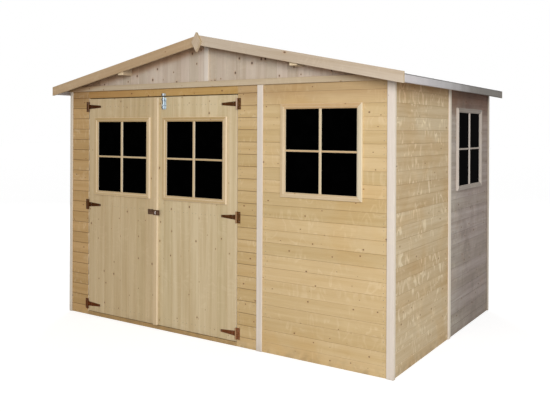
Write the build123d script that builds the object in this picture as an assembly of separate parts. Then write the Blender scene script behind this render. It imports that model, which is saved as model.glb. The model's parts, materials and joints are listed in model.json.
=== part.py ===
from build123d import *
import os
from math import cos, radians, tan

# Wooden garden shed: boarded panels on batten frames, a low gable roof, double doors and two fixed windows.
# Millimetres. X runs along the gabled front, Y from the front to the back, Z up.
# The origin lies on the ground, under the middle of the whole shed.

# Windows, all of one size
window_frame_width = 578.0
window_frame_height = 596.0
window_stile = 35.0
window_rail = 32.0
window_frame_thickness = 14.0
glass_lap = 5.0
glass_clearance = 1.0
glass_thickness = 4.0

# Wall panels
cover_thickness = 8.0
cladding_thickness = 14.0
frame_depth = 28.0
stud_width = 45.0
butt_gap = 0.5
panel_seam = 3.0
corner_wide_leg = 47.0
corner_narrow_leg = 28.0
batten_width = 45.0
floor_thickness = 28.0
wall_window_foot = 1024.0
wall_window_head = 130.0
front_window_left_margin = 161.0
front_window_right_margin = 208.0
side_window_front_margin = 149.0
side_window_back_margin = 223.0
side_front_panel_width = 970.0

# Doorway and doors
left_strip_width = 209.0
right_strip_width = 186.0
header_height = 54.0
door_gap = 6.0
door_foot_gap = 5.0
meeting_gap = 8.0
left_window_margin = 71.0
left_window_inner_margin = 41.0
right_window_margin = 82.5
right_window_inner_margin = 77.5
door_window_head = 147.0
leaf_thickness = 16.0
ledge_thickness = 26.0
ledge_height = 70.0
ledge_inset = 28.0
cover_strip_width = 34.0
cover_strip_thickness = 20.0
cover_strip_head_gap = 4.0

# Gables and roof
roof_pitch = 11.69
side_wall_rise = 26.6
gable_trim_thickness = 16.0
gable_rail_height = 39.0
gable_batten_width = 36.0
deck_thickness = 16.0
felt_thickness = 4.0
eave_overhang = 95.0
front_overhang = 100.0
bargeboard_thickness = 18.0
bargeboard_depth = 67.0
bargeboard_rise = 12.0
apex_gap = 2.0
fascia_thickness = 18.0
fascia_height = 45.0
purlin_offset = 750.0
purlin_width = 55.0
purlin_depth = 53.0
ridge_beam_width = 45.0
ridge_beam_depth = 95.0
finial_height = 134.0
finial_width = 78.0
finial_thickness = 20.0
finial_rise = 30.0
back_finial_drop = 12.0

# T hinges
pin_radius = 4.0
pin_clearance = 0.2
knuckle_radius = 7.0
pin_standoff = 7.5
hinge_plate_height = 77.0
hinge_plate_width = 21.0
hinge_metal = 3.0
knuckle_gap = 0.5
strap_length = 129.0
strap_root_height = 34.0
strap_tip_height = 16.0
hinge_low_margin = 54.0
hinge_middle_drop = 81.0
hinge_high_margin = 61.0

# Latch and bolt
latch_drop = 96.0
latch_plate_height = 38.0
latch_plate_length = 58.0
latch_edge_gap = 3.0
latch_metal = 3.0
staple_radius = 11.0
staple_wire = 3.0
staple_offset = 27.0
bolt_offset = 85.5
bolt_plate_width = 38.0
bolt_plate_height = 84.0
bolt_plate_metal = 2.5
bolt_head_gap = 6.0
bolt_radius = 5.0
bolt_clearance = 0.3
bolt_standoff = 9.0
guide_width = 24.0
guide_height = 12.0
guide_inset = 8.0
guide_wall = 3.0
knob_radius = 4.0
knob_length = 16.0
knob_gap = 6.0
keeper_height = 16.0
keeper_gap = 8.0
keeper_clearance = 2.0

# Overall sizes, over the faces of the corner boards, that follow from the windows and their margins
left_leaf_width = left_window_margin + window_frame_width + left_window_inner_margin
right_leaf_width = right_window_inner_margin + window_frame_width + right_window_margin
doorway_width = door_gap + left_leaf_width + meeting_gap + right_leaf_width + door_gap
window_panel_width = front_window_left_margin + window_frame_width + front_window_right_margin
side_rear_panel_width = side_window_front_margin + window_frame_width + side_window_back_margin
shed_width = left_strip_width + doorway_width + right_strip_width + window_panel_width
shed_depth = side_front_panel_width + side_rear_panel_width
wall_height = wall_window_foot + window_frame_height + wall_window_head

# Places that follow from the sizes above
side_x = shed_width / 2
eave_x = side_x + eave_overhang
clad_x = side_x - cover_thickness
frame_x = clad_x - cladding_thickness
room_x = frame_x - frame_depth
back_overhang = gable_trim_thickness - cover_thickness + bargeboard_thickness
front_y = -(shed_depth + back_overhang - front_overhang) / 2
back_y = front_y + shed_depth
clad_front = front_y + cover_thickness
clad_back = back_y - cover_thickness
frame_front = clad_front + cladding_thickness
frame_back = clad_back - cladding_thickness
room_front = frame_front + frame_depth
room_back = frame_back - frame_depth
roof_front = front_y - front_overhang
roof_back = back_y + back_overhang
deck_front = roof_front + bargeboard_thickness
deck_back = roof_back - bargeboard_thickness

slope = tan(radians(roof_pitch))
felt_drop = felt_thickness / cos(radians(roof_pitch))
deck_drop = deck_thickness / cos(radians(roof_pitch))
bargeboard_drop = bargeboard_depth / cos(radians(roof_pitch))
side_top = wall_height + side_wall_rise
ridge_height = side_top + slope * clad_x + deck_drop + felt_drop
deck_x = eave_x - fascia_thickness

doorway_left = -side_x + left_strip_width
doorway_right = doorway_left + doorway_width
doorway_top = wall_height - header_height
panel_x = side_x - window_panel_width
front_window_x = side_x - front_window_right_margin - window_frame_width / 2
side_window_y = back_y - side_window_back_margin - window_frame_width / 2
side_seam_y = front_y + side_front_panel_width
leaf_foot = floor_thickness + door_foot_gap
leaf_top = doorway_top - door_gap
left_leaf = (doorway_left + door_gap, doorway_left + door_gap + left_leaf_width)
right_leaf = (left_leaf[1] + meeting_gap, doorway_right - door_gap)
door_window_foot = leaf_top - door_window_head - window_frame_height
hinge_low_height = leaf_foot + hinge_low_margin
hinge_middle_height = door_window_foot - hinge_middle_drop
hinge_high_height = leaf_top - hinge_high_margin
hinge_heights = [hinge_low_height, hinge_middle_height, hinge_high_height]
latch_height = door_window_foot - latch_drop
leaf_back = clad_front + leaf_thickness
pin_y = clad_front - pin_standoff
left_pin_x = doorway_left + door_gap / 2
right_pin_x = doorway_right - door_gap / 2


def felt_top(x):
    return ridge_height - slope * abs(x)


def bargeboard_top(x):
    return felt_top(x) + bargeboard_rise


def deck_top(x):
    return felt_top(x) - felt_drop


def deck_under(x):
    return deck_top(x) - deck_drop


def block(x, y, z):
    """A square-edged piece between two places on each axis."""
    middle = [(low + high) / 2 for low, high in (x, y, z)]
    length = [high - low for low, high in (x, y, z)]
    return Pos(*middle) * Box(*length)


def upright(points, y):
    """An outline in X and Z, as thick as from one place on Y to the other."""
    outline = Polygon(*points, align=None)
    face = Plane(origin=(0, y[1], 0), x_dir=(1, 0, 0), z_dir=(0, -1, 0)) * outline
    return extrude(face, amount=y[1] - y[0])


def mirrored(piece):
    return mirror(piece, about=Plane.YZ)


def window_hole(x, foot):
    """The span of the hole, which the frame laps on every side."""
    width = window_frame_width - 2 * (window_stile - glass_lap)
    low = foot + window_rail - glass_lap
    high = foot + window_frame_height - window_rail + glass_lap
    return (x - width / 2, x + width / 2), (low, high)


def narrowed(span, by):
    return span[0] + by, span[1] - by


def window_ring(x, y, foot):
    """A fixed frame that faces the front, centred on x."""
    across = (x - window_frame_width / 2, x + window_frame_width / 2)
    upward = (foot, foot + window_frame_height)
    outside = block(across, y, upward)
    return outside - block(narrowed(across, window_stile), y, narrowed(upward, window_rail))


def window_pane(x, y_front, foot):
    across, upward = window_hole(x, foot)
    pane = (y_front, y_front + glass_thickness)
    return block(narrowed(across, glass_clearance), pane, narrowed(upward, glass_clearance))


def turned_to_right_side(piece, y):
    """Turns a piece made on the front, about X 0, to face the right side at a place along Y."""
    return Pos(side_x, y, 0) * Rot(0, 0, 90) * Pos(0, -front_y, 0) * piece


def front_panels():
    """Boarding of the front: beside, over and to the right of the doorway, and the sill."""
    thickness = (clad_front, frame_front)
    height = (0, wall_height)
    hole_x, hole_z = window_hole(front_window_x, wall_window_foot)
    window_wall = block((panel_x, clad_x), thickness, height)
    return {
        "front_wall_left_strip": block((-clad_x, doorway_left), thickness, height),
        "front_wall_right_strip": block((doorway_right, panel_x - panel_seam), thickness, height),
        "front_header": block((doorway_left, doorway_right), thickness, (doorway_top, wall_height)),
        "door_sill": block((doorway_left, doorway_right), (clad_front, room_front), (0, floor_thickness)),
        "front_window_wall": window_wall - block(hole_x, thickness, hole_z),
    }


def side_and_back_panels():
    """Boarding of the sides and the back, split where the panels meet."""
    height = (0, side_top)
    right = (frame_x, clad_x)
    front_half = (frame_front, side_seam_y)
    rear_half = (side_seam_y + panel_seam, frame_back)
    hole_y, hole_z = window_hole(side_window_y, wall_window_foot)
    plain = [block(right, front_half, height), block(right, rear_half, height)]
    third = 2 * clad_x / 3
    edges = [-clad_x, -clad_x + third, clad_x - third, clad_x]
    back = []
    for left_edge, right_edge in zip(edges, edges[1:]):
        span = narrowed((left_edge, right_edge), panel_seam / 2)
        back.append(block(span, (frame_back, clad_back), (0, wall_height)))
    return {
        "right_wall_front": plain[0],
        "right_wall_rear": plain[1] - block(right, hole_y, hole_z),
        "left_wall": Part() + [mirrored(panel) for panel in plain],
        "back_wall": Part() + back,
    }


def corner_post(front_leg, side_leg):
    """The front right corner: one board on the end wall and one on the side."""
    post = Polyline(
        (side_x, front_y),
        (side_x, front_y + side_leg),
        (clad_x, front_y + side_leg),
        (clad_x, clad_front),
        (side_x - front_leg, clad_front),
        (side_x - front_leg, front_y),
        close=True,
    )
    return extrude(make_face(post), amount=wall_height)


def corner_boards():
    """The wide board is on the end wall at the right corners, and on the side wall at the left ones."""
    right = corner_post(corner_wide_leg, corner_narrow_leg)
    left = mirrored(corner_post(corner_narrow_leg, corner_wide_leg))
    backs = [Pos(0, front_y + back_y, 0) * mirror(corner, about=Plane.XZ) for corner in (right, left)]
    return Part() + [right, left] + backs


def panel_battens():
    """Strips that cover the seams between wall panels."""
    half = batten_width / 2
    height = (0, wall_height)
    seam = panel_x - panel_seam / 2
    front = block((seam - half, seam + half), (front_y, clad_front), height)
    side_seam = side_seam_y + panel_seam / 2
    right = block((clad_x, side_x), (side_seam - half, side_seam + half), (0, deck_under(side_x)))
    third = clad_x - 2 * clad_x / 3
    back = block((third - half, third + half), (clad_back, back_y), height)
    return Part() + [front, right, mirrored(right), back, mirrored(back)]


def wall_rails():
    """Top and bottom battens of the panel frames."""
    low = (0, stud_width)
    along = (frame_front, frame_back)
    side_low = block((room_x, frame_x), along, low)
    side_high = block((room_x, frame_x), along, (side_top - stud_width, side_top))
    across = narrowed((-room_x, room_x), butt_gap)
    end_high = (wall_height - stud_width, wall_height)
    front = (frame_front, room_front)
    back = (room_back, frame_back)
    rails = [side_low, side_high, mirrored(side_low), mirrored(side_high)]
    rails.append(block((across[0], doorway_left - butt_gap), front, low))
    rails.append(block((doorway_right + butt_gap, across[1]), front, low))
    rails.append(block(across, front, end_high))
    rails.append(block(across, back, low))
    rails.append(block(across, back, end_high))
    return Part() + rails


def wall_studs():
    """Upright battens of the panel frames, between the rails."""
    end_height = (stud_width, wall_height - stud_width)
    side_height = (stud_width, side_top - stud_width)
    front = (frame_front, room_front)
    back = (room_back, frame_back)
    hole_x, _ = window_hole(front_window_x, wall_window_foot)
    hole_y, _ = window_hole(side_window_y, wall_window_foot)
    seam = panel_x - (panel_seam + stud_width) / 2
    front_lefts = [
        -room_x + butt_gap,
        doorway_left - stud_width,
        doorway_right,
        seam,
        hole_x[0] - stud_width,
        hole_x[1],
        room_x - stud_width - butt_gap,
    ]
    third = clad_x - 2 * clad_x / 3
    back_lefts = [
        -room_x + butt_gap,
        -third - stud_width / 2,
        third - stud_width / 2,
        room_x - stud_width - butt_gap,
    ]
    side_seam = side_seam_y + (panel_seam - stud_width) / 2
    side_fronts = [frame_front, side_seam, frame_back - stud_width]
    window_sides = [hole_y[0] - stud_width, hole_y[1]]
    studs = [block((x, x + stud_width), front, end_height) for x in front_lefts]
    studs += [block((x, x + stud_width), back, end_height) for x in back_lefts]
    for y in side_fronts:
        stud = block((room_x, frame_x), (y, y + stud_width), side_height)
        studs += [stud, mirrored(stud)]
    studs += [block((room_x, frame_x), (y, y + stud_width), side_height) for y in window_sides]
    return Part() + studs


def purlin_section():
    low = purlin_offset - purlin_width / 2
    high = purlin_offset + purlin_width / 2
    foot = deck_under(purlin_offset) - purlin_depth
    return [(low, foot), (high, foot), (high, deck_under(high)), (low, deck_under(low))]


def roof_beams():
    """A ridge beam between the gables, and a purlin under each slope that shows at both ends."""
    purlin = upright(purlin_section(), (deck_front, deck_back))
    half = ridge_beam_width / 2
    foot = deck_under(half) - ridge_beam_depth
    ridge_points = [
        (-half, foot),
        (half, foot),
        (half, deck_under(half)),
        (0, deck_under(0)),
        (-half, deck_under(half)),
    ]
    ridge = upright(ridge_points, (frame_front, frame_back))
    return Part() + [purlin, mirrored(purlin), ridge]


def gable_panel(y):
    """Upright boards under the slopes, notched for the purlins."""
    points = [
        (-clad_x, wall_height),
        (clad_x, wall_height),
        (clad_x, deck_under(clad_x)),
        (0, deck_under(0)),
        (-clad_x, deck_under(clad_x)),
    ]
    notch = upright(purlin_section(), y)
    return upright(points, y) - notch - mirrored(notch)


def gable_rail(y):
    top = wall_height + gable_rail_height
    cut_x = (deck_under(0) - top) / slope
    if cut_x >= side_x:
        return block((-side_x, side_x), y, (wall_height, top))
    points = [
        (-side_x, wall_height),
        (side_x, wall_height),
        (side_x, deck_under(side_x)),
        (cut_x, top),
        (-cut_x, top),
        (-side_x, deck_under(side_x)),
    ]
    return upright(points, y)


def gable_batten(y):
    half = gable_batten_width / 2
    foot = wall_height + gable_rail_height
    points = [
        (-half, foot),
        (half, foot),
        (half, deck_under(half)),
        (0, deck_under(0)),
        (-half, deck_under(half)),
    ]
    return upright(points, y)


def gables():
    front_trim = (clad_front - gable_trim_thickness, clad_front)
    back_trim = (clad_back, clad_back + gable_trim_thickness)
    return {
        "front_gable": gable_panel((clad_front, frame_front)),
        "back_gable": gable_panel((frame_back, clad_back)),
        "gable_rails": Part() + [gable_rail(front_trim), gable_rail(back_trim)],
        "gable_battens": Part() + [gable_batten(front_trim), gable_batten(back_trim)],
    }


def slope_slab(top, drop, low_x, high_x, y):
    """A slab that follows the right-hand slope, cut plumb at both ends."""
    points = [
        (low_x, top(low_x) - drop),
        (high_x, top(high_x) - drop),
        (high_x, top(high_x)),
        (low_x, top(low_x)),
    ]
    return upright(points, y)


def roof():
    half_gap = apex_gap / 2
    deck = slope_slab(deck_top, deck_drop, 0, deck_x, (deck_front, deck_back))
    felt = slope_slab(felt_top, felt_drop, half_gap, eave_x, (deck_front, deck_back))
    front = slope_slab(bargeboard_top, bargeboard_drop, half_gap, eave_x, (roof_front, deck_front))
    back_drop = bargeboard_drop - bargeboard_rise
    back = slope_slab(felt_top, back_drop, half_gap, eave_x, (deck_back, roof_back))
    fascia_top = deck_top(eave_x)
    fascia = block((deck_x, eave_x), (deck_front, deck_back), (fascia_top - fascia_height, fascia_top))
    return {
        "roof_right": deck,
        "roof_left": mirrored(deck),
        "roof_felt": Part() + [felt, mirrored(felt)],
        "front_bargeboards": Part() + [front, mirrored(front)],
        "back_bargeboards": Part() + [back, mirrored(back)],
        "eave_fascias": Part() + [fascia, mirrored(fascia)],
    }


def finial(tip, y):
    half = finial_width / 2
    middle = tip - finial_height / 2
    return upright([(0, tip), (-half, middle), (0, tip - finial_height), (half, middle)], y)


def finials():
    """A diamond over the joint of the bargeboards at each end. The back one stays under the ridge."""
    front = finial(ridge_height + finial_rise, (roof_front - finial_thickness, roof_front))
    back = finial(ridge_height - back_finial_drop, (roof_back, roof_back + finial_thickness))
    return Part() + [front, back]


def wall_windows():
    face = (clad_front - window_frame_thickness, clad_front)
    side_ring = turned_to_right_side(window_ring(0, face, wall_window_foot), side_window_y)
    side_pane = turned_to_right_side(window_pane(0, clad_front, wall_window_foot), side_window_y)
    return {
        "window_frames": Part() + [window_ring(front_window_x, face, wall_window_foot), side_ring],
        "window_glass": Part() + [window_pane(front_window_x, clad_front, wall_window_foot), side_pane],
    }


def leaf_ledges(leaf):
    """Three level boards across the inside of a leaf, behind its hinges."""
    across = narrowed(leaf, ledge_inset)
    thickness = (leaf_back, leaf_back + ledge_thickness)
    spans = [(height - ledge_height / 2, height + ledge_height / 2) for height in hinge_heights]
    return Part() + [block(across, thickness, span) for span in spans]


def door(leaf, window_x):
    """Boarded leaf with its window frame, glass and ledges."""
    face = (clad_front - window_frame_thickness, clad_front)
    hole_x, hole_z = window_hole(window_x, door_window_foot)
    thickness = (clad_front, leaf_back)
    boards = block(leaf, thickness, (leaf_foot, leaf_top)) - block(hole_x, thickness, hole_z)
    return {
        "leaf": boards,
        "window_frame": window_ring(window_x, face, door_window_foot),
        "glass": window_pane(window_x, clad_front, door_window_foot),
        "ledges": leaf_ledges(leaf),
    }


def barrel(radius, z):
    """A round piece on the left hinge axis."""
    return Pos(left_pin_x, pin_y, (z[0] + z[1]) / 2) * Cylinder(radius, z[1] - z[0])


def hinge_plate(height):
    """The part on the wall: plate, upper and lower knuckles, and the pin through them."""
    low = height - hinge_plate_height / 2
    high = height + hinge_plate_height / 2
    metal = (clad_front - hinge_metal, clad_front)
    inner = left_pin_x - knuckle_radius
    plate = block((inner - hinge_plate_width, inner), metal, (low, high))
    gap = strap_root_height / 2 + knuckle_gap
    pieces = [plate, barrel(pin_radius, (low, high))]
    for span in ((low, height - gap), (height + gap, high)):
        pieces.append(barrel(knuckle_radius, span))
        pieces.append(block((inner, left_pin_x - pin_radius), (pin_y, clad_front), span))
    return Part() + pieces


def hinge_strap(height):
    """The part on the leaf: a tapered strap and the middle knuckle, bored for the pin."""
    half_root = strap_root_height / 2
    half_tip = strap_tip_height / 2
    root = left_leaf[0] + door_gap / 2
    tip = left_leaf[0] + strap_length
    points = [
        (root, height - half_root),
        (tip, height - half_tip),
        (tip, height + half_tip),
        (root, height + half_root),
    ]
    span = (height - half_root, height + half_root)
    metal = (clad_front - hinge_metal, clad_front)
    arm = block((left_pin_x, root), (metal[0] - hinge_metal, metal[0]), span)
    foot = block((root, root + hinge_metal), (metal[0] - hinge_metal, metal[1]), span)
    pieces = [upright(points, metal), barrel(knuckle_radius, span), arm, foot]
    return Part() + pieces - barrel(pin_radius + pin_clearance, span)


def to_right_door(piece):
    """Mirrors a left hinge piece about the middle of the doorway."""
    return Pos(doorway_left + doorway_right, 0, 0) * mirrored(piece)


def hinges():
    plates = [hinge_plate(height) for height in hinge_heights]
    straps = [hinge_strap(height) for height in hinge_heights]
    return {
        "hinge_plates": Part() + plates + [to_right_door(plate) for plate in plates],
        "left_hinge_straps": Part() + straps,
        "right_hinge_straps": Part() + [to_right_door(strap) for strap in straps],
    }


def cover_strip():
    """The strip on the right leaf beside the joint of the doors."""
    x = (right_leaf[0], right_leaf[0] + cover_strip_width)
    y = (clad_front - cover_strip_thickness, clad_front)
    return block(x, y, (leaf_foot, leaf_top - cover_strip_head_gap))


def latch():
    """A plate on each leaf, and a staple of bent wire on the right one."""
    z = (latch_height - latch_plate_height / 2, latch_height + latch_plate_height / 2)
    left_edge = left_leaf[1] - latch_edge_gap
    left_face = (clad_front - latch_metal, clad_front)
    strip_face = clad_front - cover_strip_thickness
    right_edge = right_leaf[0] + latch_edge_gap
    left = block((left_edge - latch_plate_length, left_edge), left_face, z)
    right = block((right_edge, right_edge + latch_plate_length), (strip_face - latch_metal, strip_face), z)
    ring_x = right_edge + staple_offset
    staple = Pos(ring_x, strip_face - latch_metal, latch_height) * Rot(0, 90, 0) * Torus(staple_radius, staple_wire)
    room = (strip_face - latch_metal - staple_radius - 2 * staple_wire, strip_face - latch_metal)
    bow = staple & block((right_edge, right_edge + latch_plate_length), room, z)
    return {"left_latch_plate": left, "right_latch_plate": right + bow}


def bolt():
    """A barrel bolt on the right leaf. Its rod slides up into a keeper on the header."""
    x = right_leaf[0] + bolt_offset
    rod_y = clad_front - bolt_standoff
    top = leaf_top - bolt_head_gap
    low = top - bolt_plate_height
    plate = block(
        (x - bolt_plate_width / 2, x + bolt_plate_width / 2),
        (clad_front - bolt_plate_metal, clad_front),
        (low, top),
    )
    reach = (rod_y - bolt_radius - bolt_clearance - guide_wall, clad_front - bolt_plate_metal)
    across = (x - guide_width / 2, x + guide_width / 2)
    guides = []
    for foot in (low + guide_inset, top - guide_inset - guide_height):
        guides.append(block(across, reach, (foot, foot + guide_height)))
    bore = Pos(x, rod_y, (low + top) / 2) * Cylinder(bolt_radius + bolt_clearance, bolt_plate_height)
    rod = Pos(x, rod_y, (low + leaf_top) / 2) * Cylinder(bolt_radius, leaf_top - low)
    knob_z = low + guide_inset + guide_height + knob_gap + knob_radius
    knob = Pos(x, rod_y - knob_length / 2, knob_z) * Rot(90, 0, 0) * Cylinder(knob_radius, knob_length)
    keeper_foot = leaf_top + keeper_gap
    keeper_radius = bolt_radius + keeper_clearance
    keeper_reach = (rod_y - keeper_radius - guide_wall, clad_front)
    keeper = block(across, keeper_reach, (keeper_foot, keeper_foot + keeper_height))
    keeper_bore = Pos(x, rod_y, keeper_foot + keeper_height / 2)
    keeper -= keeper_bore * Cylinder(keeper_radius, keeper_height)
    return {
        "bolt_plate": Part() + [plate] + [guide - bore for guide in guides],
        "bolt_rod": rod + knob,
        "bolt_keeper": keeper,
    }


def shed():
    nodes = {"floor": block((-room_x, room_x), (room_front, room_back), (0, floor_thickness))}
    nodes.update(front_panels())
    nodes.update(side_and_back_panels())
    nodes["corner_boards"] = corner_boards()
    nodes["panel_battens"] = panel_battens()
    nodes["wall_rails"] = wall_rails()
    nodes["wall_studs"] = wall_studs()
    nodes["roof_beams"] = roof_beams()
    nodes.update(gables())
    nodes.update(roof())
    nodes["finials"] = finials()
    nodes.update(wall_windows())
    left_window_x = left_leaf[0] + left_window_margin + window_frame_width / 2
    right_window_x = right_leaf[1] - right_window_margin - window_frame_width / 2
    for side, leaf, window_x in (("left", left_leaf, left_window_x), ("right", right_leaf, right_window_x)):
        for name, piece in door(leaf, window_x).items():
            nodes[f"{side}_door_{name}"] = piece
    nodes.update(hinges())
    nodes["door_cover_strip"] = cover_strip()
    nodes.update(latch())
    nodes.update(bolt())
    return nodes


os.makedirs("parts", exist_ok=True)
for name, piece in shed().items():
    export_step(piece, f"parts/{name}.step")
print("left pin", left_pin_x, pin_y, "right pin", right_pin_x, pin_y)
print("front wall face", clad_front, "room", room_x, room_front, room_back, "side top", side_top)
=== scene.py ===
# %% [markdown]
# # Dressing a small panel shed
# The solids of the shed come in as a fixed frame: wall plates, posts, roof, doors and their joints, all in
# metres. Here each plate becomes separate boards, each strip gets eased edges, and every surface gets its
# own finish. X runs along the gabled front, Y goes from the doors to the back, and Z is up.

# %% Load the frame
import bpy
import bmesh
import json
import math
import random
from mathutils import Matrix, Vector


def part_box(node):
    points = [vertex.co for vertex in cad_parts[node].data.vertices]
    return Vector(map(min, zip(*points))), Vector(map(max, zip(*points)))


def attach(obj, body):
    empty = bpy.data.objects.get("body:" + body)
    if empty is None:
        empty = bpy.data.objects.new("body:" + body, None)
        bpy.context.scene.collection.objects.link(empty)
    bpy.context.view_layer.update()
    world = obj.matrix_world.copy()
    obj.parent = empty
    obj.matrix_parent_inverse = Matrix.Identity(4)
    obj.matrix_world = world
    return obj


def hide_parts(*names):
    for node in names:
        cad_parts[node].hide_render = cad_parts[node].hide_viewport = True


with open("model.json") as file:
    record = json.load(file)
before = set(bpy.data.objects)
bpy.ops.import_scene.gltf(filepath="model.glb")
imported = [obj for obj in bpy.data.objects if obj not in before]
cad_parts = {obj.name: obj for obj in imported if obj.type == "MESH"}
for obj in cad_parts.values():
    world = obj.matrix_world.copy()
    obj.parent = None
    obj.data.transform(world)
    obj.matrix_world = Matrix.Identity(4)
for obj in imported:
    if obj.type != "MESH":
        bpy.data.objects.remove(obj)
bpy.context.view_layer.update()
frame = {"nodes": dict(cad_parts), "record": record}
chance = random.Random(41)
slot_of = {part["node"]: part["material_slot"] for part in frame["record"]["subparts"]}
body_of = {node: body for body, nodes in frame["record"]["behaviour"]["bodies"].items() for node in nodes}

# %% [markdown]
# ## Camera
# The photograph was taken at chest height from the front right, with a level camera whose picture was
# shifted down. Upright edges stay upright that way. A level camera with a vertical shift does the same here,
# where tilting the camera would make the corner posts lean.

# %% Place the camera
eye = (2.999, -4.647, 1.448)
view_turn = math.radians(33.16)
view_roll = 0.0048
lens = bpy.data.cameras.new("view")
lens.lens = 45.07
lens.sensor_width = 36
lens.shift_y = -0.1366
lens.clip_end = 200
camera = bpy.data.objects.new("view", lens)
camera.matrix_world = (
    Matrix.Translation(eye)
    @ Matrix.Rotation(view_turn, 4, "Z")
    @ Matrix.Rotation(math.pi / 2, 4, "X")
    @ Matrix.Rotation(view_roll, 4, "Z")
)
bpy.context.scene.collection.objects.link(camera)
bpy.context.scene.camera = camera
print("camera at", tuple(camera.location))

# %% [markdown]
# ## Colours
# Colours are easiest to pick as the six-digit codes of a paint program. Shaders count light in a straight
# line, so each code is turned into linear values first.

# %% Turn a colour code into linear light
def tint(code):
    channels = [int(code[i:i + 2], 16) / 255 for i in (0, 2, 4)]
    linear = [c / 12.92 if c <= 0.04045 else ((c + 0.055) / 1.055) ** 2.4 for c in channels]
    return (*linear, 1)

print("white is", tint("FFFFFF"))

# %% [markdown]
# ## Wiring shader nodes
# A finish is a small network of nodes. Three short helpers keep the wiring readable: one feeds the sockets
# of a node, by a link or by a plain value, one adds a node with its settings, and one starts a new finish.

# %% Add and feed nodes
def feed(tree, node, inputs):
    for key, source in inputs.items():
        if isinstance(source, bpy.types.NodeSocket):
            tree.links.new(source, node.inputs[key])
        else:
            node.inputs[key].default_value = source


def add_node(tree, kind, inputs=None, **settings):
    node = tree.nodes.new(kind)
    for key, value in settings.items():
        setattr(node, key, value)
    feed(tree, node, inputs or {})
    return node


def new_finish(name):
    finish = bpy.data.materials.new(name)
    finish.use_nodes = True
    shader = finish.node_tree.nodes["Principled BSDF"]
    return finish, finish.node_tree, shader

print("nodes can be added")

# %% [markdown]
# Some steps come up in every finish, so each gets a name: a sum or a product, a soft step, a blend of two
# colours, the place of a point on the shed, noise, and a bump.

# %% Steps that come up often
def reckon(tree, operation, a, b=0.0, c=0.0):
    return add_node(tree, "ShaderNodeMath", {0: a, 1: b, 2: c}, operation=operation).outputs[0]


def times(tree, a, b, plus=0.0):
    return reckon(tree, "MULTIPLY_ADD", a, b, plus)


def fade(tree, value, low, high, to_low=0.0, to_high=1.0):
    """Goes smoothly from to_low to to_high while value goes from low to high."""
    inputs = {0: value, 1: low, 2: high, 3: to_low, 4: to_high}
    return add_node(tree, "ShaderNodeMapRange", inputs, interpolation_type="SMOOTHSTEP").outputs[0]


def blend(tree, share, first, second, how="MIX"):
    inputs = {0: share, 6: first, 7: second}
    return add_node(tree, "ShaderNodeMix", inputs, data_type="RGBA", blend_type=how).outputs[2]


def own_place(tree):
    return add_node(tree, "ShaderNodeTexCoord").outputs["Object"]


def split(tree, vector):
    return add_node(tree, "ShaderNodeSeparateXYZ", {0: vector}).outputs


def noise(tree, where, scale, detail=2.0, **more):
    inputs = {"Vector": where, "Scale": scale, "Detail": detail, **more}
    return add_node(tree, "ShaderNodeTexNoise", inputs).outputs["Fac"]


def bumps(tree, height, strength, distance):
    inputs = {"Height": height, "Strength": strength, "Distance": distance}
    return add_node(tree, "ShaderNodeBump", inputs).outputs[0]

print("node helpers ready")

# %% [markdown]
# ## Planed pine
# Pine shows pale early wood with amber lines of late wood, and dark knots where branches were. The lines run
# along the board and bend round each knot. An image could show that, but it would repeat. Here each board
# carries its own place along and across the grain as a mesh attribute named grain, so one network serves
# boards that lie any way, and each board has its own share of the pattern. A second attribute, tone, makes
# one board paler or pinker than the next. The knots come first: each cell of a Voronoi pattern holds one, or
# none, and the distance to it is kept in metres.

# %% Scatter knots along a board
knot_cell, smallest_share, tiny_radius = (0.17, 0.074), 0.4, 0.0001
core_fade, halo_fade, bend_fade = (1.15, 0.5), (2.4, 1.0), (4.5, 1.0)


def knot_field(tree, along, across, share, size, stretch):
    """The cores of the knots, the halos round them, and how far the grain bends aside."""
    length, width = knot_cell
    cells = add_node(tree, "ShaderNodeCombineXYZ", {
        0: reckon(tree, "DIVIDE", along, length), 1: reckon(tree, "DIVIDE", across, width)}).outputs[0]
    scatter = {"Vector": cells, "Scale": 1.0, "Randomness": 0.95}
    spots = add_node(tree, "ShaderNodeTexVoronoi", scatter, voronoi_dimensions="2D").outputs
    ends = {0: cells, 1: spots["Position"]}
    offset = split(tree, add_node(tree, "ShaderNodeVectorMath", ends, operation="SUBTRACT").outputs[0])
    off_along = times(tree, offset[0], length * stretch)
    off_across = times(tree, offset[1], width)
    square = times(tree, off_along, off_along, times(tree, off_across, off_across))
    luck = add_node(tree, "ShaderNodeSeparateColor", {0: spots["Color"]}).outputs
    present = reckon(tree, "LESS_THAN", luck[1], share)
    radius = times(tree, present, times(tree, luck[0], size, size * smallest_share))
    ratio = reckon(tree, "DIVIDE", reckon(tree, "SQRT", square), reckon(tree, "ADD", radius, tiny_radius))
    core, halo, bend = [
        times(tree, present, fade(tree, ratio, *limits)) for limits in (core_fade, halo_fade, bend_fade)]
    return core, halo, times(tree, bend, off_across)

print("knots ready")

# %% [markdown]
# The grain itself is noise that is stretched along the board, at three scales: slow streaks as wide as a
# finger, the thin lines of late wood, and fine fibres. Most of all on the side wall, the grain also rises to
# the face in pale flames. They are the contour lines of a slow noise, sharp on one side and soft on the
# other, broken up by a second noise.

# %% Grain lines and pale flames
streak_scale, fibre_scale, flame_scale, gap_scale = (0.8, 24.0), (9.0, 420.0), (13.0, 5.5), (5.0, 8.0)
depth_share, waviness = 0.5, 0.03
rings_per_metre, contours = 95.0, 5.0


def stretched(tree, place, along_scale, across_scale, **settings):
    """Noise at a place along, across and deep in the board, drawn out along it."""
    scales = (along_scale, across_scale, across_scale * depth_share)
    scaled = {i: times(tree, place[i], scales[i]) for i in range(3)}
    return noise(tree, add_node(tree, "ShaderNodeCombineXYZ", scaled).outputs[0], 1.0, **settings)


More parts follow.
